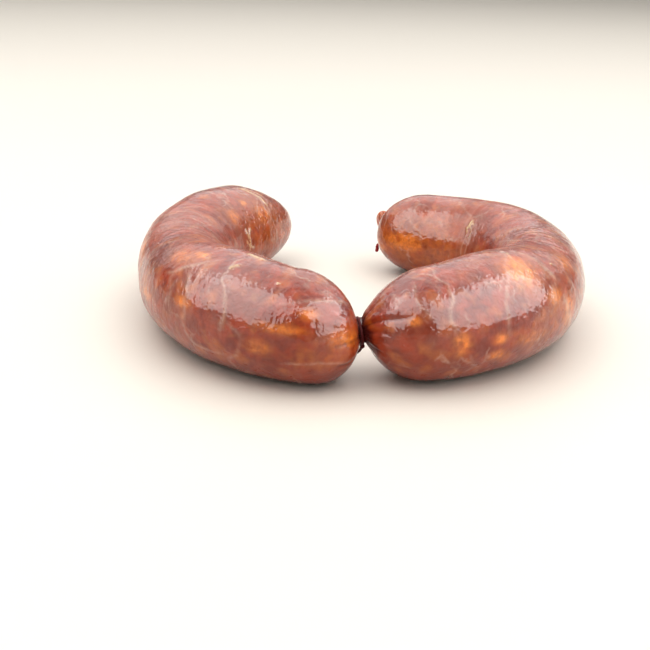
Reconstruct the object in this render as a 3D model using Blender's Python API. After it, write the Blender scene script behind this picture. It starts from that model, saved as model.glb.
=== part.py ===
"""String of two raw sausage links that lies in an open ring, tied at its neck and at both far ends.

Sizes are millimetres, turned into metres where a mesh is made. X runs to the right along the string,
Y away from the viewer and Z up. The links rest on Z = 0, and the origin is under the middle of the ring.
"""

import math

import bmesh
import bpy
from mathutils import Matrix, Vector

MM = 0.001

# Neck between the two links
NECK = Vector((-2.2, -59.51, 16.2))
NECK_LENGTH = 1.7
NECK_RADIUS = 3.9
NECK_HEADING = 9.5
NECK_STRING_ENDS = ((-1.1, 0.2, -8.4), (1.5, 0.9, -7.2))
NECK_STRING_SHIFT = 0.4

# Links: turn is in degrees per millimetre, turn and radius are at even steps from the neck to the far tip,
# a dome is its length and the two powers of its curve, the neck's reach is how far from it the axis is level
# again, and a hook is the length and angle of the last bend, which hides the tied tip behind the link.
# String ends are along, beside and above the middle of their tie
LEFT = {
    "side": -1,
    "heading": -20.0,
    "length": 179.5,
    "turn": (1.9, 0.9, 0.7, 1.0, -0.3),
    "radius": (18.4, 19.6, 17.6, 19.1, 17.3),
    "neck_dome": (19.8, 3.0, 0.5),
    "neck_reach": 19.8,
    "tip_dome": (28.5, 1.8, 0.62),
    "tip_height": 16.7,
    "tip_hook": (16.0, -30.0),
    "tail_aim": (-0.4, 0.8, -0.5),
    "tail_length": 7.0,
    "string_ends": ((1.2, -0.9, -6.4), (3.0, 0.9, -7.4)),
}
RIGHT = {
    "side": 1,
    "heading": -1.0,
    "length": 188.2,
    "turn": (0.8, 0.9, 0.8, 1.6, -0.9),
    "radius": (18.1, 20.1, 17.8, 17.6, 16.8),
    "neck_dome": (21.0, 2.0, 0.65),
    "neck_reach": 7.0,
    "tip_dome": (17.0, 1.9, 0.31),
    "tip_height": 15.9,
    "tip_hook": (14.0, -28.0),
    "tail_aim": (-0.5, 0.5, 0.9),
    "tail_length": 9.5,
    "string_ends": ((3.0, -1.5, -6.8), (2.3, 6.8, -9.6)),
}

# A resting link is pressed flat underneath, so its axis lies lower than its radius
AXIS_SHARE = 0.96

# Casing tied and gathered at the far tips
TIP_RADIUS = 2.4
TIE_LENGTH = 1.8
TAIL_RADIUS = 3.2
TAIL_END_RADIUS = 1.6

# String
STRING_RADIUS = 0.5
STRING_GAP = 0.3
KNOT_SIZE = (1.7, 2.2, 1.8)
END_RADIUS = 0.45

# Fineness
RINGS_PER_LINK = 60
STEPS_BETWEEN_RINGS = 8
SIDES = 24
TAIL_RINGS = 9


def clear_scene():
    """Removes what the scene starts with."""
    for thing in list(bpy.data.objects):
        bpy.data.objects.remove(thing)


def new_collection(name):
    """A collection linked to the scene."""
    group = bpy.data.collections.new(name)
    bpy.context.scene.collection.children.link(group)
    return group


def material(name, color, roughness):
    """A plain Principled material."""
    made = bpy.data.materials.new(name)
    made.use_nodes = True
    shader = made.node_tree.nodes["Principled BSDF"]
    shader.inputs["Base Color"].default_value = (*color, 1.0)
    shader.inputs["Roughness"].default_value = roughness
    shader.inputs["Metallic"].default_value = 0.0
    return made


def ease(share):
    """Smooth step from 0 to 1."""
    share = min(1.0, max(0.0, share))
    return share * share * (3.0 - 2.0 * share)


def between(values, share, eased):
    """Value at a share of the length, where the values stand at even steps."""
    place = min(1.0, max(0.0, share)) * (len(values) - 1)
    step = min(int(place), len(values) - 2)
    part = place - step
    if eased:
        part = ease(part)
    return values[step] + (values[step + 1] - values[step]) * part


def dome(distance, size):
    """Share of the full radius at a distance from a link's end."""
    length, inner_power, outer_power = size
    inside = max(0.0, 1.0 - distance / length)
    return (1.0 - inside**inner_power) ** outer_power


def level(degrees):
    """Unit vector in the level plane, turned from +X towards +Y."""
    angle = math.radians(degrees)
    return Vector((math.cos(angle), math.sin(angle), 0.0))


def link_rings(link):
    """Axis point, radius and direction along the string of each ring, from the neck to the far tip."""
    side = link["side"]
    length = link["length"]
    place = NECK + side * level(NECK_HEADING) * NECK_LENGTH / 2
    heading = link["heading"]
    hook_length, hook_angle = link["tip_hook"]
    steps = RINGS_PER_LINK * STEPS_BETWEEN_RINGS
    rings = []
    before = 0.0
    for number in range(steps + 1):
        share = number / steps
        along = length * (share - 0.85 * math.sin(math.tau * share) / math.tau)
        stride = along - before
        heading += between(link["turn"], (along - stride / 2) / length, False) * stride
        hooked = hook_angle * ease(1.0 - (length - along) / hook_length)
        forward = level(side * (heading + hooked))
        place += side * forward * stride
        before = along
        if number % STEPS_BETWEEN_RINGS:
            continue
        girth = between(link["radius"], along / length, True)
        shape = dome(along, link["neck_dome"]) * dome(length - along, link["tip_dome"])
        height = girth * AXIS_SHARE
        height += (NECK.z - height) * (1.0 - ease(along / link["neck_reach"]))
        height += (link["tip_height"] - height) * (1.0 - ease((length - along) / link["tip_dome"][0]))
        waist = NECK_RADIUS if along < length / 2 else TIP_RADIUS
        rings.append((Vector((place.x, place.y, height)), max(waist, girth * shape), forward))
    return rings


def tail_rings(link, tip):
    """Rings of the tied stretch beyond a far tip and of the gathered casing after it."""
    side = link["side"]
    place = tip[0].copy()
    outwards = side * tip[2]
    aim = Vector(link["tail_aim"]).normalized()
    rings = [(place + outwards * TIE_LENGTH / 2, TIP_RADIUS, tip[2])]
    place += outwards * TIE_LENGTH
    rings.append((place.copy(), TIP_RADIUS, tip[2]))
    stride = link["tail_length"] / TAIL_RINGS
    for number in range(1, TAIL_RINGS + 1):
        share = number / TAIL_RINGS
        step = outwards.lerp(aim, ease(share * 2)).normalized()
        place += step * stride
        flare = TIP_RADIUS + (TAIL_RADIUS - TIP_RADIUS) * ease(share * 3)
        close = math.sqrt(max(0.0, 1.0 - share**4))
        rings.append((place.copy(), max(TAIL_END_RADIUS, flare * close), side * step))
    return rings


def casing_mesh(name, rings):
    """Closed mesh of rings, each square to its own direction, with a flat face at both ends.

    What would reach below the surface is pressed up to it, which leaves a narrow flat strip.
    """
    shell = bmesh.new()
    loops = []
    for place, radius, forward in rings:
        beside = Vector((0.0, 0.0, 1.0)).cross(forward).normalized()
        above = forward.cross(beside)
        loop = []
        for number in range(SIDES):
            angle = math.tau * (number + 0.5) / SIDES
            spot = place + radius * (math.cos(angle) * beside + math.sin(angle) * above)
            spot.z = max(0.0, spot.z)
            loop.append(shell.verts.new(spot * MM))
        loops.append(loop)
    for here, there in zip(loops, loops[1:]):
        for number in range(SIDES):
            after = (number + 1) % SIDES
            shell.faces.new((here[number], here[after], there[after], there[number]))
    shell.faces.new(loops[0])
    shell.faces.new(loops[-1])
    bmesh.ops.recalc_face_normals(shell, faces=shell.faces)
    mesh = bpy.data.meshes.new(name)
    shell.to_mesh(mesh)
    shell.free()
    return mesh


def build_links(group, casing):
    """Both links, their shared neck and the gathered casing at the far ends, as one solid."""
    left = link_rings(LEFT)
    right = link_rings(RIGHT)
    left += tail_rings(LEFT, left[-1])
    right += tail_rings(RIGHT, right[-1])
    mesh = casing_mesh("links", left[::-1] + right)
    mesh.materials.append(casing)
    mesh.shade_smooth()
    links = bpy.data.objects.new("links", mesh)
    group.objects.link(links)


def tie_ring(name, radius):
    """One turn of string round the X axis, as an object of its own."""
    bpy.ops.mesh.primitive_torus_add(
        major_radius=radius * MM,
        minor_radius=STRING_RADIUS * MM,
        major_segments=28,
        minor_segments=10,
    )
    ring = bpy.context.object
    ring.name = name
    ring.data.name = name
    ring.data.transform(Matrix.Rotation(math.pi / 2, 4, "Y"))
    for owner in list(ring.users_collection):
        owner.objects.unlink(ring)
    return ring


def knot_ball(name, place):
    """Knot, as a small flattened ball."""
    mesh = bpy.data.meshes.new(name)
    ball = bmesh.new()
    bmesh.ops.create_icosphere(ball, subdivisions=2, radius=0.5 * MM)
    ball.to_mesh(mesh)
    ball.free()
    mesh.transform(Matrix.Diagonal((*KNOT_SIZE, 1.0)))
    knot = bpy.data.objects.new(name, mesh)
    knot.location = place * MM
    return knot


def string_end(name, start, stop):
    """One cut end of string, bent a little on its way down from the knot."""
    curve = bpy.data.curves.new(name, "CURVE")
    curve.dimensions = "3D"
    curve.bevel_depth = END_RADIUS * MM
    curve.bevel_resolution = 2
    curve.use_fill_caps = True
    spline = curve.splines.new("POLY")
    middle = start.lerp(stop, 0.5) + Vector((0.0, 0.35, 0.0))
    points = (start, middle, stop)
    spline.points.add(len(points) - 1)
    for point, place in zip(spline.points, points):
        point.co = (*(place * MM), 1.0)
    guide = bpy.data.objects.new(name, curve)
    bpy.context.scene.collection.objects.link(guide)
    graph = bpy.context.evaluated_depsgraph_get()
    mesh = bpy.data.meshes.new_from_object(guide.evaluated_get(graph))
    bpy.data.objects.remove(guide)
    shell = bmesh.new()
    shell.from_mesh(mesh)
    bmesh.ops.remove_doubles(shell, verts=shell.verts, dist=0.01 * MM)
    shell.to_mesh(mesh)
    shell.free()
    return bpy.data.objects.new(name, mesh)


def build_tie(name, place, heading, waist, tips, group, helpers, string):
    """One turn of string round the casing, with its knot underneath and two cut ends that hang from it."""
    radius = waist + STRING_GAP + STRING_RADIUS
    tie = tie_ring(name, radius)
    group.objects.link(tie)
    knot_place = Vector((0.0, 0.0, -radius - KNOT_SIZE[2] / 3))
    pieces = [knot_ball(name + "_knot", knot_place)]
    for number, tip in enumerate(tips):
        side = 1.0 if number else -1.0
        start = knot_place + Vector((0.25 * side, 0.35 * side, 0.0))
        pieces.append(string_end(f"{name}_end_{number + 1}", start, Vector(tip)))
    for piece in pieces:
        piece.parent = tie
        piece.hide_render = True
        piece.display_type = "WIRE"
        helpers.objects.link(piece)
        union = tie.modifiers.new(piece.name, "BOOLEAN")
        union.operation = "UNION"
        union.object = piece
    tie.location = place * MM
    tie.rotation_euler = (0.0, 0.0, math.atan2(heading.y, heading.x))
    tie.data.materials.append(string)
    tie.data.shade_smooth()


def build_ties(group, helpers, string):
    """The tie at the neck and the ties at both far ends."""
    across = level(NECK_HEADING)
    place = NECK + across * NECK_STRING_SHIFT
    build_tie("neck_twine", place, across, NECK_RADIUS, NECK_STRING_ENDS, group, helpers, string)
    for name, link in (("left_end_twine", LEFT), ("right_end_twine", RIGHT)):
        tip, radius, forward = link_rings(link)[-1]
        outwards = link["side"] * forward
        place = tip + outwards * TIE_LENGTH / 2
        build_tie(name, place, outwards, radius, link["string_ends"], group, helpers, string)


def main():
    """Builds the whole string of links."""
    clear_scene()
    group = new_collection("string_of_sausage_links")
    helpers = new_collection("helpers")
    casing = material("casing", (0.42, 0.13, 0.075), 0.32)
    string = material("string", (0.16, 0.03, 0.022), 0.6)
    build_links(group, casing)
    build_ties(group, helpers, string)


main()
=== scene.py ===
"""String of two raw paprika sausage links, tied at the neck and at both far ends, lying in an open ring.

Sizes are millimetres and are turned into metres where a mesh is made. X runs to the right along the string,
Y away from the viewer and Z up. The links rest on Z = 0.
"""

import math

import bmesh
import bpy
import numpy as np
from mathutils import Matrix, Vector


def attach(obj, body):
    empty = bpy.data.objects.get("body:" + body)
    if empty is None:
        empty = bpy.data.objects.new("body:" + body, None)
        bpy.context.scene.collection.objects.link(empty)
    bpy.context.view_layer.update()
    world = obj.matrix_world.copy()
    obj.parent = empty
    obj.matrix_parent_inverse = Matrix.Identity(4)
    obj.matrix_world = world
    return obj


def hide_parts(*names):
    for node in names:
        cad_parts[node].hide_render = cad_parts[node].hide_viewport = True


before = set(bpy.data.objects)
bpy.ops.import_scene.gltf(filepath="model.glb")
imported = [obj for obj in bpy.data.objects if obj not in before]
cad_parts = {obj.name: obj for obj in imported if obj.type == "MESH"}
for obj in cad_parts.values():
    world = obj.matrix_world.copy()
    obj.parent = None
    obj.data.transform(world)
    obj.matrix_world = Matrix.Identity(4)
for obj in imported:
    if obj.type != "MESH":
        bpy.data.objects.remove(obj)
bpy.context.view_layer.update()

# Links
# Two plump links of coarse paprika meat in one length of natural casing, filled tight and tied between the
# links and at both far ends, so that it curls as it lies. The casing is thin, moist and milky: red lean and
# orange fat show through it, and its own veins stand out as pale raised lines.
MM = 0.001
NECK = np.array((-2.2, -59.51, 16.2))
NECK_HEADING = 9.5
NECK_LENGTH = 1.7
NECK_RADIUS = 3.9
NECK_LEAN = 0.2       # how far the neck leans along the string for each millimetre down
NECK_SHIFT = 0.35
NECK_OVERLAP = 2.0    # how far each link's closed stump reaches into the other link
TIP_RADIUS = 2.4
AXIS_SHARE = 0.96     # height of the axis as a share of the radius, the rest is pressed flat
TIE_LENGTH = 1.8
TAIL_RADIUS = 3.2
RINGS, SIDES = 384, 256
# Each link's axis starts at the neck, on the left or right side. Turn is in degrees a millimetre and radius in
# millimetres, at even steps of the length. A dome is its length and the two powers of the profile near an end.
LINKS = {
    "left_link": {
        "side": -1,
        "heading": -20.0,
        "length": 179.5,
        "turn": (1.9, 0.9, 0.7, 1.0, -0.3),
        "radius": (18.4, 19.6, 17.6, 19.1, 17.3),
        "neck_dome": (19.8, 3.0, 0.5),
        "neck_reach": 19.8,
        "tip_dome": (28.5, 1.8, 0.62),
        "tip_height": 16.7,
        "tip_hook": (16.0, -30.0),
        "tail_aim": (-0.4, 0.8, -0.5),
        "tail_length": 7.0,
        # Veins: places along the link and degrees up from its outer side, then their width and strength
        "veins": (
            (((43, 72), (49, 60), (54, 49), (56, 40), (60, 34)), 0.55, 0.9),
            (((55, 42), (56, 32), (54, 22), (56, 8)), 0.6, 0.6),
            (((51, 52), (49, 38), (47, 26), (48, 12)), 0.8, 0.7),
            (((37, 92), (39, 76), (38, 62), (38, 52), (36, 43), (34, 27), (34, 13), (35, -2)), 0.5, 0.9),
            (((21, 38), (16, 46), (12, 50), (8, 55), (3, 68)), 0.55, 0.85),
            (((33, 15), (29, 2), (30, -17), (33, -34), (32, -50)), 0.5, 0.6),
            (((47, 22), (47, 8), (47, -10), (44, -24), (38, -27), (32, -24)), 0.6, 0.6),
            (((149, 96), (152, 112), (154, 127), (154, 142), (156, 166)), 0.5, 1.0),
            (((20, -22), (14, -17), (8, -18), (3, -30)), 0.45, 0.5),
            (((43, 70), (46, 60), (47, 48), (46, 36)), 0.4, 0.5),
            (((72, 80), (78, 60), (80, 38), (77, 14), (80, -14), (76, -40)), 0.5, 0.5),
            (((104, 120), (110, 96), (108, 70), (113, 42), (118, 10), (114, -24)), 0.5, 0.5),
            (((131, 60), (138, 44), (140, 20), (148, 2), (150, -28)), 0.5, 0.6),
        ),
        # Folds that run into a tie, given as the veins are, with a negative strength where they are creases,
        # which also get painted shade
        "folds": (
            (((0, 30), (4, 34), (9, 40)), 0.9, 0.5),
            (((0, 8), (4, 6), (9, 2)), 0.7, -0.6),
            (((0, -30), (4, -28), (8, -24)), 0.8, -0.6),
            (((0, 62), (4, 64), (9, 68)), 0.8, -0.5),
            (((4, 31), (8, 30), (12, 31), (16, 33)), 1.2, 0.4),
        ),
        # Painted shade, darkening the hollows beside a tie and stretches where less light falls:
        # place, degrees, half length, half width, strength
        "painted_shade": (
            (0.5, 10, 2.0, 5, 0.8), (25, -8, 14, 10, 0.48), (8, -14, 6, 8, 0.42), (73, 46, 15, 12, 0.54),
        ),
        # Raised shreds of cream tissue that cling to the casing, given as the veins are
        "tissue": (
            (((131, 158), (132, 168), (133, 176), (132, 188)), 0.75, 1.0),
            (((136, 158), (134, 168), (133, 176)), 0.5, 0.9),
            (((129, 172), (132, 180), (137, 184)), 0.5, 0.8),
            (((32, 95), (36, 97), (41, 100)), 0.8, 1.0),
            (((149, 94), (152, 108), (155, 124), (157, 138)), 0.6, 0.9),
            (((151, 96), (155, 108), (159, 120)), 0.4, 0.7),
            (((36, 74), (37.5, 69), (38, 64)), 0.7, 0.7),
            (((22, 61), (22.6, 62)), 0.45, 1.0),
        ),
        # Orange fat under the casing: place, degrees, half length, half width round the link, strength. The
        # broad weak oval near the far end is also painted light, a lighter tone where more light falls.
        "fat": (
            (59, 59, 8, 4, 0.40), (52, 69, 4, 2, 0.9), (48, 17, 3, 2, 0.8), (127, 139, 5, 4, 0.6),
            (141, 127, 3, 2, 0.6), (150, 148, 6, 5, 0.6), (150, 160, 24, 16, 0.22),
            (14, 34, 2.2, 2.2, 0.65), (6, 10, 4, 4, 0.6), (20, 16, 6, 1.8, 0.55),
            (25, -6, 3, 2.5, 0.7), (10, -14, 7, 4, 0.25), (70, 4, 5, 3, 0.5),
            (96, 30, 6, 3, 0.6), (160, 40, 8, 4, 0.6), (88, 175, 7, 4, 0.5), (120, -5, 6, 3, 0.6),
        ),
        # Stretches where the casing is milky and wrinkled round its girth: place, half length, strength
        "milky": ((84, 30, 0.85), (118, 22, 0.6), (40, 22, 0.15)),
    },
    "right_link": {
        "side": 1,
        "heading": -1.0,
        "length": 188.2,
        "turn": (0.8, 0.9, 0.8, 1.6, -0.9),
        "radius": (18.1, 20.1, 17.8, 17.6, 16.8),
        "neck_dome": (21.0, 2.0, 0.65),
        "neck_reach": 7.0,
        "tip_dome": (17.0, 1.9, 0.31),
        "tip_height": 15.9,
        "tip_hook": (14.0, -28.0),
        "tail_aim": (-0.4, 0.5, 0.95),
        "tail_length": 9.2,
        "veins": (
            (((17, 90), (21, 73), (24, 60), (24, 44), (23, 23), (24, 7)), 0.55, 0.95),
            (((15, 72), (15, 56), (16, 38), (18, 24)), 0.45, 0.6),
            (((53, 96), (50, 81), (44, 63), (42, 50), (40, 38), (39, 20), (39, -5)), 0.5, 0.9),
            (((111, 148), (91, 119), (82, 90), (83, 69), (85, 50)), 0.55, 0.8),
            (((55, 84), (57, 74), (59, 62), (60, 49), (60, 38), (57, 26), (58, 12)), 1.15, 1.0),
            (((175, 136), (174, 146), (170, 160), (168, 176)), 0.5, 0.6),
            (((157, 100), (154, 112), (146, 130), (141, 139)), 0.5, 0.8),
            (((146, 132), (141, 124), (137, 112)), 0.5, 0.8),
            (((144, 150), (144.5, 162), (145, 174), (144.5, 186)), 0.45, 0.8),
            (((141.5, 150), (140.5, 162), (141, 174), (142, 186)), 0.4, 0.7),
            (((13, 92), (18, 70), (21, 56), (22, 40)), 0.4, 0.5),
            (((62, 22), (63, 5), (66, -8), (70, -20)), 1.1, 0.9),
            (((69, 40), (70, 16), (76, -6), (78, -26)), 0.9, 0.8),
            (((128, 104), (122, 76), (126, 48), (121, 16), (125, -18)), 0.5, 0.5),
            (((28, -14), (31, -30), (29, -48)), 0.45, 0.4),
            (((150, 80), (156, 58), (154, 30), (160, 4), (158, -30)), 0.5, 0.6),
        ),
        "folds": (
            (((0, 46), (3, 43), (7, 41), (11, 41)), 1.1, 0.9),
            (((0, 36), (4, 34), (9, 31), (13, 30)), 0.8, -1.0),
            (((0, 14), (4, 14), (9, 10)), 0.7, -0.6),
            (((0, -4), (4, -6), (10, -8)), 0.7, 0.5),
            (((0, -26), (4, -24), (9, -22)), 0.8, -0.3),
            (((0, 70), (4, 72), (10, 74)), 0.8, -0.6),
        ),
        # Painted shade in the hollows beside the neck tie
        "painted_shade": ((1.0, -5, 3.0, 6, 1.0), (3.5, -25, 3.0, 4, 0.7)),
        "tissue": (
            (((142.5, 136), (143.5, 141), (142, 145)), 0.75, 1.0),
            (((141, 139), (143, 142), (145.5, 148)), 0.5, 0.9),
            (((143.5, 144), (144.5, 149), (144, 153)), 0.6, 0.9),
            (((143, 142), (141, 152), (142, 162)), 0.35, 0.5),
            (((52, 84), (51, 78), (50, 72)), 0.5, 0.5),
            (((64, 54), (64.6, 55)), 0.45, 1.0),
        ),
        "fat": (
            # Orange fat as for the left link; the broad weak oval near the far end is also painted light
            (175, 178, 7, 5, 0.95), (171, 181, 4, 3, 1.0), (165, 180, 24, 16, 0.35),
            (49, 58, 6, 7, 0.95), (58, 23, 4, 3, 0.8),
            (65, 3, 4, 6, 0.7), (26, -2, 2.4, 4, 0.9), (37, -3, 2, 2, 0.8), (37, -22, 2.4, 2.4, 0.8),
            (14, 26, 1.6, 1.4, 0.8), (183, -162, 4, 3, 0.6), (48, -10, 6, 3, 0.4), (74, 52, 6, 5, 0.5),
            (104, 20, 7, 4, 0.5), (132, 60, 6, 4, 0.6), (150, -14, 7, 3, 0.6), (163, 60, 5, 4, 0.5),
        ),
        "milky": ((66, 26, 0.42), (112, 24, 0.4), (34, 20, 0.1), (149, 12, 0.85)),
    },
}


def ease(share):
    """Smooth step: 3 s^2 - 2 s^3 of the share s held between 0 and 1."""
    share = np.clip(share, 0.0, 1.0)
    return share * share * (3.0 - 2.0 * share)


def between(values, share, eased):
    """Value at a share of the length, straight or eased between values that stand at even steps."""
    place = np.clip(share, 0.0, 1.0) * (len(values) - 1)
    step = np.minimum(place.astype(int), len(values) - 2)
    part = ease(place - step) if eased else place - step
    values = np.array(values)
    return values[step] + (values[step + 1] - values[step]) * part


def dome(distance, size):
    """Share of the full radius near an end: (1 - (1 - distance / length)^p)^q."""
    length, inner_power, outer_power = size
    return (1.0 - np.clip(1.0 - distance / length, 0.0, None) ** inner_power) ** outer_power


def level(degrees):
    """Level unit vectors, turned from X towards Y: (cos a, sin a, 0)."""
    angle = np.radians(degrees)
    return np.stack([np.cos(angle), np.sin(angle), np.zeros_like(angle)], axis=-1)


def unit(vectors):
    """Each vector divided by its length."""
    return vectors / np.maximum(np.linalg.norm(vectors, axis=-1, keepdims=True), 1e-9)


def link_axis(link):
    """Axis points, radii and distances from the neck, through the far tie to the end of the gathered casing.

    The heading is the running sum of turn rate times stride, and each point is the one before plus a stride
    along the heading. Strides shorten towards both ends. The radius is the girth times the domes of both ends.
    """
    side, length = link["side"], link["length"]
    share = np.linspace(0.0, 1.0, 3001)
    along = length * (share - 0.85 * np.sin(math.tau * share) / math.tau)
    stride = np.diff(along)
    middle = (along[1:] + along[:-1]) / 2
    heading = link["heading"] + np.cumsum(between(link["turn"], middle / length, False) * stride)
    hook_length, hook_angle = link["tip_hook"]
    hooked = hook_angle * ease(1.0 - (length - along[1:]) / hook_length)
    forward = side * level(side * (heading + hooked))
    start = NECK + side * level(NECK_HEADING) * NECK_LENGTH / 2
    place = np.vstack([start, start + np.cumsum(forward * stride[:, None], axis=0)])
    girth = between(link["radius"], along / length, True)
    height = girth * AXIS_SHARE
    height += (NECK[2] - height) * (1.0 - ease(along / link["neck_reach"]))
    height += (link["tip_height"] - height) * (1.0 - ease((length - along) / link["tip_dome"][0]))
    place[:, 2] = height
    radius = girth * dome(along, link["neck_dome"]) * dome(length - along, link["tip_dome"])
    radius = np.maximum(np.where(along < length / 2, NECK_RADIUS, TIP_RADIUS), radius)

    # Half of the neck, and a narrower stump that closes it inside the other link
    overlap = NECK - side * level(NECK_HEADING) * NECK_OVERLAP
    neck_share = np.linspace(0.0, 1.0, 24)[:-1, None]
    neck_place = overlap + (start - overlap) * neck_share
    neck_radius = np.where(neck_share[:, 0] < 0.6, 0.85 * NECK_RADIUS, NECK_RADIUS)
    neck_radius[0] = 0.0

    # Tied stretch beyond the far tip, and the gathered casing that bends away from it and closes
    tip, tip_forward = place[-1], forward[-1]
    tied = tip + tip_forward * np.linspace(0.0, TIE_LENGTH, 12)[1:, None]
    tail_share = np.linspace(0.0, 1.0, 61)
    lean = ease(tail_share[1:] * 2)[:, None]
    aim = unit(tip_forward + (unit(np.array(link["tail_aim"])) - tip_forward) * lean)
    tail = tied[-1] + np.cumsum(aim * link["tail_length"] / 60, axis=0)
    flare = TIP_RADIUS + (TAIL_RADIUS - TIP_RADIUS) * ease(tail_share[1:] * 3)
    tail_radius = flare * np.sqrt(np.maximum(0.0, 1.0 - tail_share[1:] ** 4))

    place = np.vstack([neck_place, place, tied, tail])
    radius = np.concatenate([neck_radius, radius, np.full(11, TIP_RADIUS), tail_radius])
    step = np.linalg.norm(np.diff(place[:, :2], axis=0), axis=1)
    distance = np.concatenate([[0.0], np.cumsum(np.maximum(step, 1e-6))]) - NECK_LENGTH / 2 - NECK_OVERLAP
    return place, radius, distance


def cloud(points, size, seed):
    """Smooth noise from -1 to 1: random values at the corners of cubes of that size, eased in between."""
    turned = points @ np.array(((0.36, 0.48, -0.8), (-0.8, 0.6, 0.0), (0.48, 0.64, 0.6))) / size
    corner = np.floor(turned).astype(int)
    part = ease(turned - corner)
    values = np.random.default_rng(seed).uniform(-1.0, 1.0, (48, 48, 48))
    total = 0.0
    for x in (0, 1):
        for y in (0, 1):
            for z in (0, 1):
                share = np.prod(np.abs(1.0 - np.array((x, y, z)) - part), axis=-1)
                cell = (corner + (x, y, z)) % 48
                total = total + share * values[cell[..., 0], cell[..., 1], cell[..., 2]]
    return total


def smooth_path(stations, step):
    """Points at even parameter steps on the curve through the stations, by Catmull and Rom's cubic."""
    knots = np.array(stations, float)
    knots = np.vstack([2 * knots[0] - knots[1], knots, 2 * knots[-1] - knots[-2]])
    place = np.arange(0.0, len(stations) - 1 + 1e-6, step)
    first = np.minimum(place.astype(int), len(stations) - 2)
    t = (place - first)[:, None]
    a, b, c, d = (knots[first + k] for k in range(4))
    return 0.5 * (2 * b + (c - a) * t + (2 * a - 5 * b + 4 * c - d) * t**2 + (3 * b - a - 3 * c + d) * t**3)


def nearness(distance, degrees, radius, stations, width):
    """Share from 0 to 1 of how near each point of the casing is to a line on it: exp(-(gap / width)^2).

    The gap is to the nearest of the line's short straight stretches, in millimetres along and round the link.
    The line thins out towards both of its ends.
    """
    path = smooth_path(stations, 0.2)
    near = np.zeros_like(distance)
    inside = (distance > path[:, 0].min() - 4) & (distance < path[:, 0].max() + 4)
    here, angle, size = distance[inside], degrees[inside], radius[inside]
    best = np.full(here.shape, 1e9)
    fade = np.zeros_like(here)
    count = len(path) - 1
    for number in range(count):
        (a_place, a_turn), (b_place, b_turn) = path[number], path[number + 1]
        off = (angle - a_turn + 180.0) % 360.0 - 180.0
        u, v = here - a_place, np.radians(off) * size
        du, dv = b_place - a_place, np.radians(b_turn - a_turn) * size
        t = np.clip((u * du + v * dv) / (du * du + dv * dv + 1e-9), 0.0, 1.0)
        gap = (u - t * du) ** 2 + (v - t * dv) ** 2
        closer = gap < best
        best = np.where(closer, gap, best)
        fade = np.where(closer, (number + t) / count, fade)
    ends = ease(np.minimum(fade, 1.0 - fade) * 5 + 0.25)
    near[inside] = np.exp(-best / width**2) * ends
    return near


def pleats(angle, seed):
    """Folds round a gathered end, from -1 to 1: a sum of cosines of whole multiples of the angle."""
    draw = np.random.default_rng(seed)
    return sum(np.cos(count * angle + draw.uniform(0, math.tau)) for count in (6, 9, 11, 14, 17)) / 2.6


def shell(name, points):
    """Mesh of a grid of points in millimetres, rings by sides, whose first and last rings are poles."""
    rings, sides = points.shape[:2]
    inner = points[1:-1].reshape(-1, 3)
    verts = np.vstack([points[0, :1], inner, points[-1, :1]]) * MM
    ring, side = np.meshgrid(np.arange(rings - 3), np.arange(sides), indexing="ij")
    here, beside = 1 + ring * sides + side, 1 + ring * sides + (side + 1) % sides
    quads = np.stack([here, beside, beside + sides, here + sides], axis=-1).reshape(-1, 4)
    around = np.arange(sides)
    last = 1 + (rings - 3) * sides
    start = np.stack([np.zeros(sides, int), 1 + (around + 1) % sides, 1 + around], axis=-1)
    stop = np.stack([np.full(sides, len(verts) - 1), last + around, last + (around + 1) % sides], axis=-1)
    mesh = bpy.data.meshes.new(name)
    mesh.from_pydata(verts.tolist(), [], quads.tolist() + start.tolist() + stop.tolist())
    mesh.validate()
    mesh.update()
    mesh.shade_smooth()
    return mesh


def volume(mesh):
    """Volume inside a closed mesh, positive where its faces point outwards."""
    mesh.calc_loop_triangles()
    corners = np.array([t.vertices for t in mesh.loop_triangles])
    place = np.array([v.co for v in mesh.vertices])
    a, b, c = (place[corners[:, k]] for k in range(3))
    return float(np.sum(np.cross(a, b) * c) / 6)


def keep(mesh, name, values):
    """Keeps an array of the grid, one number or one vector a point, as an attribute of its mesh."""
    kind, field = ("FLOAT_VECTOR", "vector") if values.ndim == 3 else ("FLOAT", "value")
    flat = values.reshape(values.shape[0], values.shape[1], -1)
    rows = np.vstack([flat[0, :1], flat[1:-1].reshape(-1, flat.shape[2]), flat[-1, :1]])
    mesh.attributes.new(name, kind, "POINT").data.foreach_set(field, rows.astype(np.float32).ravel())


def sections(link):
    """Centres, radii and distances of one link's rings, with the level and the upward direction of each.

    The rings stand at even steps of the profile's own length. They are upright along the link, and square to
    the axis beyond the far tie, where the gathered casing bends away.
    """
    place, radius, distance = link_axis(link)
    run = np.concatenate([[0.0], np.cumsum(np.hypot(np.diff(distance), np.diff(radius)))])
    steps = np.linspace(0.0, run[-1], RINGS)
    centre = np.stack([np.interp(steps, run, place[:, k]) for k in range(3)], axis=-1)
    size = np.interp(steps, run, radius)
    where = np.interp(steps, run, distance)
    tangent = np.gradient(place, axis=0)
    tangent[:, 2] *= ease((distance - link["length"]) / TIE_LENGTH)
    tangent = unit(tangent)
    tangent = unit(np.stack([np.interp(steps, run, tangent[:, k]) for k in range(3)], axis=-1))
    outwards = unit(-link["side"] * np.cross((0.0, 0.0, 1.0), tangent))
    upwards = unit(link["side"] * np.cross(outwards, tangent))
    return centre, size, where, outwards, upwards


def ovals(along, degrees, girth, spots):
    """Strongest of a set of soft ovals on the casing: 1.3 exp(-1.3 gap^2), held at 1, times its strength."""
    made = np.zeros_like(girth)
    for spot, spot_turn, half_length, half_width, strength in spots:
        off = (degrees - spot_turn + 180.0) % 360.0 - 180.0
        gap = ((along - spot) / half_length) ** 2 + (np.radians(off) * girth / half_width) ** 2
        made = np.maximum(made, strength * np.clip(1.3 * np.exp(-1.3 * gap), 0.0, 1.0))
    return made


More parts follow.
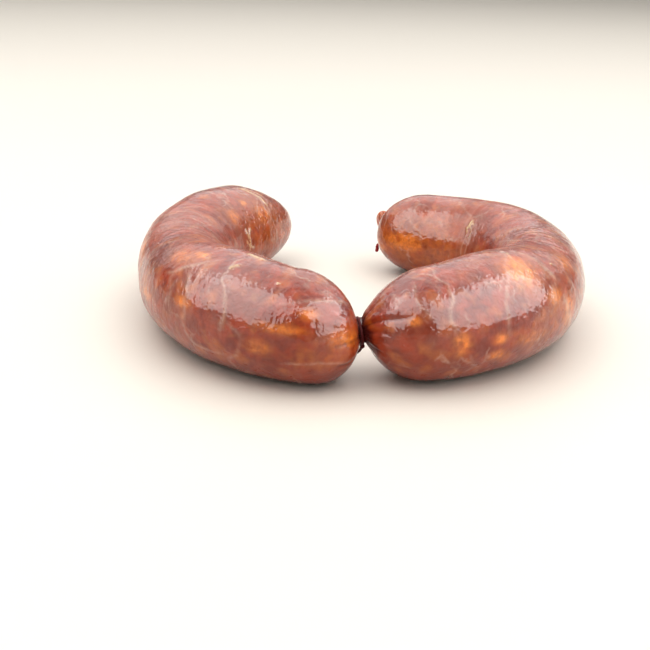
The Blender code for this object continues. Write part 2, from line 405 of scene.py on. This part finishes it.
def marks(link, along, degrees, girth, straight, seed):
    """What shows in or on the casing at each of its points, from 0 to 1, and below 0 for a crease.

    Milky stretches are bell curves along the link, clouded. Veins and tissue are lines that wander with clouds
    of a few millimetres, and a vein also comes and goes. Folds run straight, and fat and painted shade are soft
    ovals.
    """
    milky = sum(strength * np.exp(-(((along - spot) / half) ** 2)) for spot, half, strength in link["milky"])
    milky = np.clip(milky * (0.8 + 0.5 * cloud(straight, 14.0, seed + 1)), 0.0, 1.0)
    wander = straight[..., 0] + 0.9 * cloud(straight, 4.0, seed + 2)
    sway = degrees + 2.4 * cloud(straight, 5.0, seed + 3)
    vein, tissue, fold = (np.zeros_like(girth) for _ in range(3))
    for stations, width, strength in link["veins"]:
        vein = np.maximum(vein, strength * nearness(wander, sway, girth, stations, 1.1 * width))
    vein *= np.clip(0.85 + 0.6 * cloud(straight, 6.0, seed + 11), 0.4, 1.0)
    for stations, width, strength in link["tissue"]:
        tissue = np.maximum(tissue, strength * nearness(wander, sway, girth, stations, width))
    for stations, width, strength in link["folds"]:
        fold += strength * nearness(along, degrees, girth, stations, width)
    fat, painted_shade = (ovals(along, degrees, girth, link[name]) for name in ("fat", "painted_shade"))
    return milky, vein, tissue, fold, fat, painted_shade


def skin(link, seed):
    """Points of one link's casing, and what its material reads at each of them.

    A point is its ring's centre plus (radius + relief) times cos(turn) outwards plus sin(turn) upwards, with
    turn counted up from the outer side of the link and starting underneath. Relief is the sum of low lumps,
    grains of meat, wrinkles round the girth, raised veins and tissue, folds, and the pleats beside the ties and
    beyond the far one. Beside the neck the points then shift along the string. What would reach below the
    surface is pressed up to it.
    """
    centre, size, where, outwards, upwards = sections(link)
    turn = -math.pi / 2 + np.arange(SIDES) * math.tau / SIDES
    cosine, sine = np.cos(turn)[None, :, None], np.sin(turn)[None, :, None]
    round_axis = cosine * outwards[:, None] + sine * upwards[:, None]
    angle = np.broadcast_to(turn, (RINGS, SIDES))
    degrees = np.degrees(angle)
    along = np.broadcast_to(where[:, None], (RINGS, SIDES))
    girth = np.broadcast_to(size[:, None], (RINGS, SIDES))
    straight = np.stack([along, girth * np.cos(angle), girth * np.sin(angle)], axis=-1)
    milky, vein, tissue, fold, fat, painted_shade = marks(link, along, degrees, girth, straight, seed)

    # How gathered the casing is, from 1 at a tie to nothing some 15 mm away, and the pleats of that stretch
    tie_gap = np.minimum(np.abs(along), np.abs(along - link["length"] - TIE_LENGTH / 2))
    tail = ease((along - link["length"] - TIE_LENGTH) / 2.0)
    waist = np.where(along < link["length"] / 2, NECK_RADIUS, TIP_RADIUS)
    from_tie = np.abs(girth - waist) + np.maximum(tie_gap - 1.0, 0.0) * 0.6
    gathered = np.exp(-from_tie / 4.0) * (1 - tail)
    pleat = pleats(angle, seed + 4)
    groove = np.exp(-((pleat / 0.16) ** 2))
    body = ease((girth - waist) / 6.0)
    room = np.clip(girth / waist, 0.0, 1.0)

    wrinkled = straight * (1.0, 0.09, 0.09)
    relief = body * (0.5 * cloud(straight, 19.0, seed + 5) + 0.26 * cloud(straight, 9.0, seed + 6))
    relief += body * 0.07 * cloud(straight, 3.4, seed + 7)
    relief += body * milky * (0.07 * cloud(wrinkled, 2.6, seed + 8) + 0.02 * cloud(wrinkled, 1.3, seed + 9))
    relief += 0.16 * vein + 0.45 * tissue + 0.6 * body * fold
    relief += gathered * room * (0.30 * pleat - 0.60 * groove * ease((girth - waist) / 1.5 + 0.2))
    relief += tail * room * (0.45 * pleat - 0.8 * groove)
    relief[[0, -1]] = 0.0

    points = centre[:, None] + (girth + relief)[..., None] * round_axis
    if link["side"] > 0:
        shift = NECK_SHIFT - NECK_LEAN * np.clip(points[..., 2] - NECK[2], -6.0, 6.0)
    else:
        shift = NECK_SHIFT * 1.6 * ease((NECK[2] + 4.0 - points[..., 2]) / 8.0)
    points = points + (shift * np.exp(-((along / 5.0) ** 2)))[..., None] * level(NECK_HEADING)
    points[..., 2] = np.maximum(points[..., 2], 0.0)

    fat = np.maximum(fat, 0.3 * tail)
    # Painted shade: darkest in the gathered hollows by the ties and in the creases, and in the shaded stretches
    dark = np.clip(np.maximum(gathered, painted_shade) - 0.5 * np.minimum(fold, 0.0), 0.0, 1.0)
    shown = {"straight": straight, "milky": milky, "vein": vein, "tissue": tissue, "fat": fat, "dark": dark}
    if link["side"] > 0:
        # Sides counted the other way round, so that the faces point outwards on this link as well
        order = np.roll(np.arange(SIDES)[::-1], 1)
        points = points[:, order]
        shown = {name: values[:, order] for name, values in shown.items()}
    return points, shown


class Paint:
    """Puts the nodes of one material together. Sizes are millimetres, on the piece's own coordinates."""

    def __init__(self, name):
        self.material = bpy.data.materials.new(name)
        self.material.use_nodes = True
        self.tree = self.material.node_tree
        self.shader = self.tree.nodes["Principled BSDF"]
        coordinates = self.add("ShaderNodeTexCoord")
        self.place = self.scaled(coordinates.outputs["Object"], (1000.0, 1000.0, 1000.0))

    def add(self, kind, **settings):
        """A node with these properties."""
        made = self.tree.nodes.new(kind)
        for name, value in settings.items():
            setattr(made, name, value)
        return made

    def put(self, socket, value):
        """Links an output to a socket, or sets the socket to a plain value."""
        if isinstance(value, bpy.types.NodeSocket):
            self.tree.links.new(value, socket)
        elif isinstance(value, tuple) and len(value) == 3 and socket.type == "RGBA":
            socket.default_value = (*value, 1.0)
        else:
            socket.default_value = value

    def scaled(self, vector, scale):
        """A vector with each axis multiplied by its own scale."""
        mapping = self.add("ShaderNodeMapping")
        self.put(mapping.inputs["Vector"], vector)
        mapping.inputs["Scale"].default_value = scale
        return mapping.outputs["Vector"]

    def kept(self, name, output="Fac"):
        """An attribute of the mesh."""
        return self.add("ShaderNodeAttribute", attribute_name=name).outputs[output]

    def noise(self, vector, size, detail=2.0, roughness=0.5, distortion=0.0, stretch=(1.0, 1.0, 1.0)):
        """Noise from 0 to 1 with features of that size, drawn out along the axes by stretch."""
        made = self.add("ShaderNodeTexNoise")
        scale = tuple(1.0 / (size * s) for s in stretch)
        self.put(made.inputs["Vector"], self.scaled(vector, scale))
        made.inputs["Scale"].default_value = 1.0
        made.inputs["Detail"].default_value = detail
        made.inputs["Roughness"].default_value = roughness
        made.inputs["Distortion"].default_value = distortion
        return made.outputs["Fac"]

    def band(self, value, low, high, bottom=0.0, top=1.0):
        """The value taken smoothly from bottom at low to top at high."""
        made = self.add("ShaderNodeMapRange", interpolation_type="SMOOTHSTEP")
        self.put(made.inputs["Value"], value)
        for socket, number in zip(("From Min", "From Max", "To Min", "To Max"), (low, high, bottom, top)):
            made.inputs[socket].default_value = number
        return made.outputs["Result"]

    def maths(self, operation, *values):
        """One sum, product or the like, held between 0 and 1."""
        made = self.add("ShaderNodeMath", operation=operation, use_clamp=True)
        for socket, value in zip(made.inputs, values):
            self.put(socket, value)
        return made.outputs[0]

    def blend(self, share, first, second):
        """Colour between first, at 0, and second, at 1."""
        made = self.add("ShaderNodeMix", data_type="RGBA")
        self.put(made.inputs["Factor"], share)
        self.put(made.inputs[6], first)
        self.put(made.inputs[7], second)
        return made.outputs[2]

    def bump(self, height, depth, under=None):
        """Bump of that depth in millimetres."""
        made = self.add("ShaderNodeBump")
        made.inputs["Distance"].default_value = depth * MM
        self.put(made.inputs["Height"], height)
        if under is not None:
            self.put(made.inputs["Normal"], under)
        return made.outputs["Normal"]


def casing_material():
    """Red lean and orange fat under a thin milky casing with pale veins, moist enough to shine."""
    paint = Paint("moist_casing_over_meat")
    place, straight = paint.place, paint.kept("straight", "Vector")
    vein, fat_spot = paint.kept("vein"), paint.kept("fat")
    milky, dark, tissue = paint.kept("milky"), paint.kept("dark"), paint.kept("tissue")

    # Lean meat from deep red brown to brick red, in pieces of a few millimetres
    broad = paint.noise(place, 13.0, 3.0)
    pieces = paint.noise(place, 5.2, 2.0, 0.55, 0.4)
    lean = paint.blend(paint.band(pieces, 0.32, 0.68), (0.192, 0.018, 0.005), (0.355, 0.040, 0.008))
    lean = paint.blend(paint.band(broad, 0.42, 0.66, 0.0, 0.6), lean, (0.215, 0.036, 0.011))

    # Fat dyed orange, in soft specks and in the patches that are listed
    specks = paint.band(paint.noise(place, 6.5, 1.0, 0.5, 0.2), 0.50, 0.74, 0.0, 0.30)
    grain = paint.band(paint.noise(place, 1.9, 2.0), 0.30, 0.65, 0.6, 1.0)
    patch = paint.maths("MULTIPLY", fat_spot, paint.band(paint.noise(place, 3.0, 3.0), 0.30, 0.58, 0.5, 1.25))
    fat = paint.maths("MAXIMUM", specks, patch)
    fat = paint.maths("MULTIPLY", fat, grain)
    filling = paint.blend(fat, lean, (0.880, 0.250, 0.032))
    olive = paint.band(paint.noise(place, 8.0, 2.0, 0.5, 0.5), 0.60, 0.76, 0.0, 0.22)
    filling = paint.blend(olive, filling, (0.460, 0.180, 0.036))

    # Painted shade: deeper red towards the underside, and a near-black painted contact shadow along the bottom
    apart = paint.add("ShaderNodeSeparateXYZ")
    paint.put(apart.inputs["Vector"], place)
    height = apart.outputs["Z"]
    filling = paint.blend(paint.band(height, 3.0, 20.0, 0.48, 0.0), filling, (0.110, 0.010, 0.003))
    filling = paint.blend(paint.band(height, 0.0, 4.5, 0.9, 0.0), filling, (0.018, 0.002, 0.001))

    # Milky casing, streaked round the girth where it is wrinkled
    streaks = paint.band(paint.noise(straight, 3.0, 1.8, 0.5, 0.4, (1.0, 8.0, 8.0)), 0.36, 0.66)
    veil = paint.band(paint.noise(place, 9.0, 4.0, 0.6, 0.6), 0.42, 0.74, 0.0, 0.07)
    strong = paint.maths("MULTIPLY", milky, paint.maths("MULTIPLY_ADD", streaks, 0.25, 0.08))
    haze = paint.maths("ADD", veil, strong)
    skin_tone = paint.blend(haze, filling, (0.600, 0.300, 0.230))

    # Net of faint veins: the edges of cells some 16 mm across, bent by noise and broken up, clear of the ties
    net = paint.add("ShaderNodeTexVoronoi", feature="DISTANCE_TO_EDGE")
    wobble = paint.add("ShaderNodeTexNoise")
    paint.put(wobble.inputs["Vector"], paint.scaled(place, (0.16, 0.16, 0.16)))
    wobble.inputs["Scale"].default_value = 1.0
    bent = paint.add("ShaderNodeVectorMath", operation="MULTIPLY_ADD")
    paint.put(bent.inputs[0], wobble.outputs["Color"])
    bent.inputs[1].default_value = (9.0, 9.0, 9.0)
    paint.put(bent.inputs[2], place)
    paint.put(net.inputs["Vector"], paint.scaled(bent.outputs["Vector"], (0.062, 0.062, 0.062)))
    net.inputs["Scale"].default_value = 1.0
    thread = paint.band(net.outputs["Distance"], 0.0, 0.06, 0.55, 0.0)
    thread = paint.maths("MULTIPLY", thread, paint.band(paint.noise(place, 11.0, 2.0), 0.48, 0.62))
    thread = paint.maths("MULTIPLY", thread, paint.band(dark, 0.02, 0.12, 1.0, 0.0))

    # Veins and shreds of tissue that stand out, and painted shade in tie hollows, creases and shaded stretches
    veined = paint.maths("MAXIMUM", thread, vein)
    veined = paint.maths("MULTIPLY", veined, paint.band(paint.noise(place, 1.6, 2.0), 0.25, 0.65, 0.20, 0.62))
    skin_tone = paint.blend(veined, skin_tone, (0.620, 0.400, 0.290))
    broken = paint.band(paint.noise(place, 0.9, 1.0), 0.34, 0.50, 0.25, 1.0)
    shred = paint.maths("MULTIPLY", tissue, broken)
    skin_tone = paint.blend(shred, skin_tone, (0.720, 0.500, 0.270))
    skin_tone = paint.blend(paint.band(dark, 0.25, 1.0, 0.0, 0.95), skin_tone, (0.070, 0.008, 0.007))
    paint.put(paint.shader.inputs["Base Color"], skin_tone)

    # Shine, duller where the casing is milky, with the fine wrinkles that fray the edges of a highlight
    rough = paint.band(paint.noise(place, 2.4, 4.0, 0.6), 0.3, 0.7, 0.26, 0.46)
    paint.put(paint.shader.inputs["Roughness"], rough)
    paint.shader.inputs["IOR"].default_value = 1.16
    paint.put(paint.shader.inputs["Coat Weight"], paint.band(milky, 0.10, 0.70, 1.0, 0.5))
    paint.shader.inputs["Coat Roughness"].default_value = 0.10
    paint.shader.inputs["Coat IOR"].default_value = 1.35
    paint.shader.inputs["Subsurface Weight"].default_value = 0.22
    paint.shader.inputs["Subsurface Radius"].default_value = (1.0, 0.28, 0.16)
    paint.shader.inputs["Subsurface Scale"].default_value = 2.4 * MM
    hairline = paint.noise(straight, 1.3, 1.0, 0.5, 0.2, (1.0, 8.0, 8.0))
    ripple = paint.noise(place, 1.9, 1.0, 0.5, 0.4)
    relief = paint.bump(hairline, 0.065)
    relief = paint.bump(ripple, 0.24, relief)
    paint.put(paint.shader.inputs["Normal"], relief)
    paint.put(paint.shader.inputs["Coat Normal"], relief)
    return paint.material


casing = casing_material()
for number, (name, link) in enumerate(LINKS.items()):
    points, shown = skin(link, 100 * number + 7)
    mesh = shell(name, points)
    assert volume(mesh) > 0, "faces of " + name + " point inwards"
    for attribute, values in shown.items():
        keep(mesh, attribute, values)
    mesh.materials.append(casing)
    piece = bpy.data.objects.new(name, mesh)
    bpy.context.scene.collection.objects.link(piece)
    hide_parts("links")
    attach(piece, "root")

# Ties
# Thin three strand cotton string, one turn pulled tight round each pinched end, with a small knot underneath
# and two cut ends. Paprika fat has soaked it dark red, and the neck string is painted darker still for shade.
STRING_RADIUS = 0.5
KNOT_DROP = 0.9
# Ends are along, beside and above the middle of their tie. One hangs down beside its link, swollen with fat.
TIES = {
    "neck_string": {"node": "neck_twine", "ends": ((-0.8, 0.2, -8.2), (1.8, 0.9, -6.6))},
    "left_end_string": {"node": "left_end_twine", "ends": ((1.2, -0.9, -6.4), (3.0, 0.9, -7.4))},
    "right_end_string": {"node": "right_end_twine", "ends": ((3.0, -1.5, -6.8),), "hanging": (2.3, 5.7, -10.5)},
}


def strand_tube(path, radius, pitch, sides=20):
    """Closed tube of twisted string as a grid of points, rings by sides.

    A ring's radius is radius * (0.84 + 0.16 |cos(1.5 (a - twist))|), three lobes that turn once a pitch along
    the path. Both ends round off as the square root of 1 - s^2 over the last radius of length.
    """
    run = np.concatenate([[0.0], np.cumsum(np.linalg.norm(np.diff(path, axis=0), axis=1))])
    tangent = unit(np.gradient(path, axis=0))
    beside = unit(np.cross(tangent, (0.31, 0.17, 0.93)))
    above = np.cross(beside, tangent)
    a = np.arange(sides) * math.tau / sides
    end = np.minimum(run, run[-1] - run) / radius
    close = np.sqrt(np.clip(1.0 - (1.0 - np.clip(end, 0.0, 1.0)) ** 2, 0.0, 1.0))
    lobes = 0.84 + 0.16 * np.abs(np.cos(1.5 * (a[None] - (run / pitch * math.tau)[:, None])))
    size = (radius * close[:, None] * lobes)[..., None]
    ring = np.cos(a)[None, :, None] * beside[:, None] + np.sin(a)[None, :, None] * above[:, None]
    return path[:, None] + size * ring


def string_material(name, dark, light):
    """Soaked cotton between two reds: its lay is in the mesh, so the nodes add fibre, fat and a damp shine."""
    paint = Paint(name)
    fibre = paint.noise(paint.place, 0.22, 4.0, 0.7)
    stain = paint.noise(paint.place, 1.4, 2.0)
    tone = paint.blend(paint.band(fibre, 0.3, 0.7), dark, light)
    tone = paint.blend(paint.band(stain, 0.45, 0.7, 0.0, 0.5), tone, dark)
    paint.put(paint.shader.inputs["Base Color"], tone)
    paint.put(paint.shader.inputs["Roughness"], paint.band(fibre, 0.3, 0.7, 0.42, 0.7))
    paint.shader.inputs["Specular IOR Level"].default_value = 0.12
    paint.put(paint.shader.inputs["Normal"], paint.bump(fibre, 0.08))
    return paint.material


def join(name, grids):
    """One mesh of several closed grids."""
    joined = bmesh.new()
    for grid in grids:
        part = shell(name, grid)
        if volume(part) < 0:
            part.flip_normals()
        joined.from_mesh(part)
        bpy.data.meshes.remove(part)
    mesh = bpy.data.meshes.new(name)
    joined.to_mesh(mesh)
    joined.free()
    mesh.shade_smooth()
    return mesh


def with_poles(grid):
    """A tube's grid with one ring more at each end, drawn together in its middle."""
    first = np.broadcast_to(grid[0].mean(axis=0), grid[0].shape)
    last = np.broadcast_to(grid[-1].mean(axis=0), grid[-1].shape)
    return np.concatenate([first[None], grid, last[None]])


def tie_grids(tie, middle, along, waist, lean):
    """Grids of one tie: a turn of string round the casing, a knot underneath and the cut ends.

    The turn is a circle, square to the casing but for its lean. The knot is a trefoil, (sin t + 2 sin 2t,
    cos t - 2 cos 2t, -sin 3t). An end is a smooth curve from the knot through its bend to its tip.
    """
    radius = waist + STRING_RADIUS * 0.8
    rise = np.array((0.0, 0.0, 1.0))
    across = unit(np.cross(rise, along))
    up = rise - along * lean
    spin = np.linspace(-math.pi / 2, math.pi * 1.5, 120)[:, None]
    turn = middle + radius * (np.cos(spin) * across + np.sin(spin) * up) + 0.16 * np.sin(spin) * along
    knot_middle = middle - up * (radius + KNOT_DROP)
    t = np.linspace(0.0, math.tau, 130)[:, None]
    knot = knot_middle + 0.36 * (
        (np.sin(t) + 2 * np.sin(2 * t)) * across
        + (np.cos(t) - 2 * np.cos(2 * t)) * rise * 0.8
        - np.sin(3 * t) * along
    )
    grids = [strand_tube(turn, STRING_RADIUS, 2.4), strand_tube(knot, STRING_RADIUS * 0.9, 2.2)]
    for number, tip in enumerate(tie["ends"]):
        stop = middle + tip[0] * along + tip[1] * across + tip[2] * rise
        bend = (knot_middle + stop) / 2 + across * (0.5 if number else -0.5) + along * 0.25
        path = smooth_path((knot_middle, bend, (bend + stop) / 2, stop), 0.05)
        grids.append(strand_tube(path, STRING_RADIUS * 0.95, 2.6))
    if "hanging" in tie:
        tip = tie["hanging"]
        stop = middle + tip[0] * along + tip[1] * across + tip[2] * rise
        bend = stop + rise * 3.2 - across * 0.9
        path = smooth_path((knot_middle, bend, (bend + stop) / 2, stop), 0.05)
        grids.append(strand_tube(path, STRING_RADIUS * 1.5, 2.6))
    return [with_poles(grid) for grid in grids]


# The neck string is the same soaked cotton in darker reds: painted shade, for the shade between the two links
neck_string = string_material("neck_string_maroon_painted_shade", (0.045, 0.002, 0.002), (0.130, 0.007, 0.007))
end_string = string_material("end_string_soaked_red", (0.180, 0.009, 0.010), (0.420, 0.022, 0.026))
for name, tie in TIES.items():
    if tie["node"] == "neck_twine":
        along = level(NECK_HEADING)
        grids = tie_grids(tie, NECK + along * (0.4 + NECK_SHIFT), along, NECK_RADIUS, NECK_LEAN)
    else:
        link = LINKS["left_link" if "left" in name else "right_link"]
        place, _, distance = link_axis(link)
        at = int(np.argmin(np.abs(distance - link["length"] - TIE_LENGTH / 2)))
        grids = tie_grids(tie, place[at], unit(place[at] - place[at - 3]), TIP_RADIUS, 0.0)
    piece = bpy.data.objects.new(name, join(name, grids))
    bpy.context.scene.collection.objects.link(piece)
    piece.data.materials.append(neck_string if tie["node"] == "neck_twine" else end_string)
    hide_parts(tie["node"])
    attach(piece, "root")

# Setting
# A plain pale floor and pale surroundings, lit softly by a wide panel overhead and one at each side. Three more
# panels, behind and at both sides of the front, only show as highlights.
floor_mesh = bpy.data.meshes.new("floor")
floor_mesh.from_pydata([(-6, -6, 0), (6, -6, 0), (6, 6, 0), (-6, 6, 0)], [], [(0, 1, 2, 3)])
floor_paint = bpy.data.materials.new("pale_floor")
floor_paint.use_nodes = True
floor_shader = floor_paint.node_tree.nodes["Principled BSDF"]
floor_shader.inputs["Base Color"].default_value = (0.73, 0.675, 0.59, 1.0)
floor_shader.inputs["Roughness"].default_value = 0.6
floor_mesh.materials.append(floor_paint)
floor = bpy.data.objects.new("floor", floor_mesh)
floor.location.z = -0.0002
bpy.context.scene.collection.objects.link(floor)

world = bpy.data.worlds.new("pale_room")
world.use_nodes = True
world.node_tree.nodes["Background"].inputs["Color"].default_value = (1.0, 0.985, 0.97, 1.0)
world.node_tree.nodes["Background"].inputs["Strength"].default_value = 0.19
bpy.context.scene.world = world


def panel(name, azimuth, elevation, distance, width, height, brightness, shine_only=False):
    """A soft panel that faces the string: azimuth from +Y towards +X, metres away and across, radiance."""
    a, e = math.radians(azimuth), math.radians(elevation)
    away = Vector((math.sin(a) * math.cos(e), math.cos(a) * math.cos(e), math.sin(e)))
    light = bpy.data.lights.new(name, "AREA")
    light.shape = "RECTANGLE"
    light.size, light.size_y = width, height
    light.energy = brightness * math.pi * width * height
    lamp = bpy.data.objects.new(name, light)
    lamp.location = Vector((0.0, -0.03, 0.02)) + away * distance
    lamp.rotation_mode = "QUATERNION"
    lamp.rotation_quaternion = away.to_track_quat("Z", "Y")
    lamp.visible_diffuse = not shine_only
    lamp.visible_camera = False
    bpy.context.scene.collection.objects.link(lamp)


panel("top_panel", 0, 78, 1.2, 2.4, 2.2, 1.45)
panel("back_shine", 0, 48, 1.15, 2.8, 1.6, 1.65, shine_only=True)
panel("left_panel", -98, 50, 0.95, 1.25, 1.25, 0.8)
panel("right_panel", 104, 50, 0.95, 1.4, 1.15, 0.95)
panel("left_shine", -118, 40, 0.94, 1.25, 1.25, 7.0, shine_only=True)
panel("right_shine", 119, 36, 0.94, 1.75, 1.15, 8.5, shine_only=True)

# Camera, a 62 mm lens some 41 cm away and 21 degrees above the surface, turned a little about its own axis
LOOK_AT = Vector((-12.88, -13.53, 0.0)) * MM
CAMERA_DISTANCE = 0.4149
CAMERA_ELEVATION = 0.3706
CAMERA_ROLL = 0.0304
lens = bpy.data.cameras.new("camera")
lens.sensor_width = 36.0
lens.lens = 61.67
lens.clip_start, lens.clip_end = 0.01, 30.0
camera = bpy.data.objects.new("camera", lens)
back = Vector((0.0, -math.cos(CAMERA_ELEVATION), math.sin(CAMERA_ELEVATION)))
camera.location = LOOK_AT + back * CAMERA_DISTANCE
camera.rotation_euler = (math.pi / 2 - CAMERA_ELEVATION, 0.0, 0.0)
camera.rotation_euler.rotate_axis("Z", CAMERA_ROLL)
bpy.context.scene.collection.objects.link(camera)
bpy.context.scene.camera = camera
bpy.context.scene.view_settings.view_transform = "Standard"
